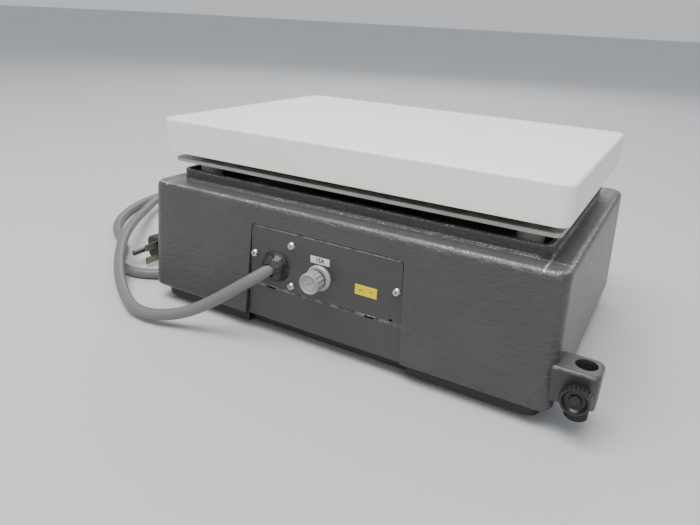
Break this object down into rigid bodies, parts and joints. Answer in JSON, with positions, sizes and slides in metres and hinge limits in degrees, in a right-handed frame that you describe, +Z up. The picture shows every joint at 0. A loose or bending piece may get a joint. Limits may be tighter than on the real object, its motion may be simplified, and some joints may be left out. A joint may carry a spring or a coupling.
{
  "type": "laboratory hot plate",
  "caption": "Rectangular laboratory hot plate: thick white heated plate on posts over a dark housing, with mains lead, fuse, probe socket, rod clamp, heat dial and power rocker.",
  "frame": {"origin": "on the floor, under the middle of the object's box without its mains lead", "axes": "+Z up; -Y towards the front with the dial; +Y towards the rear with the lead; +X to the right seen from the front, so the rod clamp is on the -X side"},
  "size_m": [0.561, 0.3479, 0.15],
  "materials": {
    "plate_white": "white baked ceramic coating",
    "element_steel": "oxidised tube",
    "plain_steel": "zinc plated",
    "blanket_fibre": "ceramic fibre",
    "shield_steel": "dull, heat stained",
    "post_grey": "satin",
    "housing_paint": "dark warm grey, wrinkled gloss",
    "panel_paint": "dark grey, smooth",
    "deck_black": "matt black",
    "nickel": "nickel plated",
    "black_plastic": "black nylon",
    "fuse_cap_grey": "light grey",
    "fuse_metal": "nickel plated brass",
    "clear_glass": "clear",
    "label_film": "printed film",
    "probe_yellow": "yellow moulding",
    "clamp_black": "dark grey, satin",
    "black_rubber": "matt",
    "fascia_face": "dark grey panel",
    "dial_white": "printed scale",
    "knob_black": "black knob",
    "lamp_amber": "amber lens",
    "regulator_case": "tan phenolic",
    "board_green": "glass-fibre board",
    "component_case": "moulded cases",
    "standoff_nylon": "white nylon",
    "core_iron": "varnished laminations",
    "winding_tape": "yellow tape",
    "sink_aluminium": "mill finish",
    "sensor_steel": "sheathed sensor",
    "wire_cover": "silicone",
    "cord_grey": "grey jacket",
    "plug_grey": "moulded",
    "plug_brass": "bright"
  },
  "bodies": {
    "base": {"base_pan": "deck_black", "base_screws": "plain_steel", "board_components": "component_case", "board_standoffs": "standoff_nylon", "bracket_screws": "nickel", "control_board": "board_green", "cord_coil": "cord_grey", "cord_gland": "black_plastic", "deck_plate": "deck_black", "dial_scale": "dial_white", "element_clamp_plate": "plain_steel", "front_fascia": "fascia_face", "fuse_contacts": "fuse_metal", "fuse_holder": "fuse_cap_grey", "fuse_holder_nut": "black_plastic", "fuse_label": "label_film", "gland_locknut": "black_plastic", "heat_regulator": "regulator_case", "heat_shield": "shield_steel", "heat_sink": "sink_aluminium", "heating_element": "element_steel", "housing": "housing_paint", "insulation_blanket": "blanket_fibre", "internal_wires": "wire_cover", "panel_screws": "nickel", "pilot_lamp": "lamp_amber", "plate_posts": "post_grey", "plate_sensor": "sensor_steel", "plate_spacers": "post_grey", "plate_studs": "plain_steel", "plug_body": "plug_grey", "plug_lead": "cord_grey", "plug_pins": "plug_brass", "plug_relief": "plug_grey", "power_cord": "cord_grey", "probe_contacts": "fuse_metal", "probe_socket": "probe_yellow", "probe_socket_clip": "plain_steel", "rear_apron": "panel_paint", "rear_panel": "panel_paint", "rocker_frame": "black_plastic", "rod_clamp_block": "clamp_black", "rod_stop": "black_rubber", "rubber_feet": "black_rubber", "stud_nuts": "plain_steel", "terminal_block": "black_plastic", "terminal_bracket": "plain_steel", "top_plate": "plate_white", "transformer_core": "core_iron", "transformer_winding": "winding_tape", "triac": "component_case"},
    "dial": {"heat_knob": "knob_black", "dial_shaft": "plain_steel"},
    "rocker": {"power_rocker": "black_plastic"},
    "fuse_cartridge": {"fuse_tube": "clear_glass", "fuse_ferrules": "fuse_metal"},
    "fuse_cap": {"fuse_cap": "fuse_cap_grey"},
    "clamp_tip": {"clamp_tip": "black_plastic"},
    "clamp_screw": {"clamp_stud": "plain_steel", "clamp_knob": "black_plastic"}
  },
  "joints": [
    {"name": "heat_turn", "type": "hinge", "parent": "base", "child": "dial", "pos_m": [-0.04051, -0.1154, 0.06], "axis": [0, -1, 0], "range_deg": [-300, 0]},
    {"name": "power_rock", "type": "hinge", "parent": "base", "child": "rocker", "pos_m": [0.07749, -0.1139, 0.06], "axis": [1, 0, 0], "range_deg": [0, 14]},
    {"name": "fuse_pull", "type": "slide", "parent": "base", "child": "fuse_cartridge", "axis": [0, 1, 0], "range_m": [0, 0.04]},
    {"name": "fuse_cap_turn", "type": "hinge", "parent": "fuse_cartridge", "child": "fuse_cap", "pos_m": [0.01349, 0.1154, 0.0584], "axis": [0, 1, 0], "range_deg": [0, 90]},
    {"name": "clamp_advance", "type": "slide", "parent": "base", "child": "clamp_tip", "axis": [0, -1, 0], "range_m": [0, 0.00187]},
    {"name": "clamp_turn", "type": "hinge", "parent": "clamp_tip", "child": "clamp_screw", "pos_m": [-0.16481, 0.115, 0.031], "axis": [0, -1, 0], "range_deg": [0, 540]}
  ],
  "couplings": [
    {"joint": "clamp_turn", "follows": "clamp_advance", "rad_per_m": 5026.5}
  ]
}
